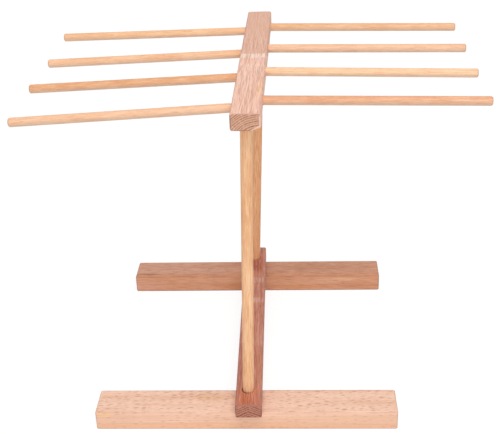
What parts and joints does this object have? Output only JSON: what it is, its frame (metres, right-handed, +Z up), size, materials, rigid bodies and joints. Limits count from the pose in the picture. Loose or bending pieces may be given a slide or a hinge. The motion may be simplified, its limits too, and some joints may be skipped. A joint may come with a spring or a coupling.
{
  "type": "pasta drying rack",
  "caption": "Free-standing beech rack with staggered push-in arms on a top bar, for hanging fresh pasta to dry.",
  "frame": {"origin": "on the ground, straight below the middle of the top bar", "axes": "+X to the right along the feet, +Y from the front foot to the rear one, +Z up"},
  "size_m": [0.442, 0.3284, 0.354],
  "materials": {
    "front_foot_wood": "unfinished beech, sanded",
    "rear_foot_wood": "unfinished beech, sanded",
    "stretcher_wood": "unfinished beech, sanded",
    "front_upright_wood": "unfinished beech, sanded",
    "rear_upright_wood": "unfinished beech, sanded",
    "top_bar_wood": "unfinished beech, sanded",
    "left_arm_1_wood": "unfinished beech, sanded",
    "left_arm_2_wood": "unfinished beech, sanded",
    "left_arm_3_wood": "unfinished beech, sanded",
    "left_arm_4_wood": "unfinished beech, sanded",
    "right_arm_1_wood": "unfinished beech, sanded",
    "right_arm_2_wood": "unfinished beech, sanded",
    "right_arm_3_wood": "unfinished beech, sanded",
    "right_arm_4_wood": "unfinished beech, sanded"
  },
  "bodies": {
    "base": {"front_foot": "front_foot_wood", "rear_foot": "rear_foot_wood", "stretcher": "stretcher_wood"},
    "upper_frame": {"front_upright": "front_upright_wood", "rear_upright": "rear_upright_wood", "top_bar": "top_bar_wood"},
    "left_arm_1": {"left_arm_1": "left_arm_1_wood"},
    "left_arm_2": {"left_arm_2": "left_arm_2_wood"},
    "left_arm_3": {"left_arm_3": "left_arm_3_wood"},
    "left_arm_4": {"left_arm_4": "left_arm_4_wood"},
    "right_arm_1": {"right_arm_1": "right_arm_1_wood"},
    "right_arm_2": {"right_arm_2": "right_arm_2_wood"},
    "right_arm_3": {"right_arm_3": "right_arm_3_wood"},
    "right_arm_4": {"right_arm_4": "right_arm_4_wood"}
  },
  "joints": [
    {"name": "frame_lift", "type": "slide", "parent": "base", "child": "upper_frame", "axis": [0.0358, 0, 0.9994], "range_m": [0, 0.035]},
    {"name": "left_arm_1_pull", "type": "slide", "parent": "upper_frame", "child": "left_arm_1", "axis": [-0.9985, 0, -0.0541], "range_m": [0, 0.022]},
    {"name": "left_arm_2_pull", "type": "slide", "parent": "upper_frame", "child": "left_arm_2", "axis": [-0.9992, 0, -0.04], "range_m": [0, 0.022]},
    {"name": "left_arm_3_pull", "type": "slide", "parent": "upper_frame", "child": "left_arm_3", "axis": [-0.9994, 0, -0.0346], "range_m": [0, 0.022]},
    {"name": "left_arm_4_pull", "type": "slide", "parent": "upper_frame", "child": "left_arm_4", "axis": [-0.9999, 0, -0.0162], "range_m": [0, 0.022]},
    {"name": "right_arm_1_pull", "type": "slide", "parent": "upper_frame", "child": "right_arm_1", "axis": [0.9998, 0, -0.0195], "range_m": [0, 0.022]},
    {"name": "right_arm_2_pull", "type": "slide", "parent": "upper_frame", "child": "right_arm_2", "axis": [0.9997, 0, -0.0254], "range_m": [0, 0.022]},
    {"name": "right_arm_3_pull", "type": "slide", "parent": "upper_frame", "child": "right_arm_3", "axis": [0.9999, 0, -0.0168], "range_m": [0, 0.022]},
    {"name": "right_arm_4_pull", "type": "slide", "parent": "upper_frame", "child": "right_arm_4", "axis": [0.9998, 0, -0.0189], "range_m": [0, 0.022]}
  ]
}
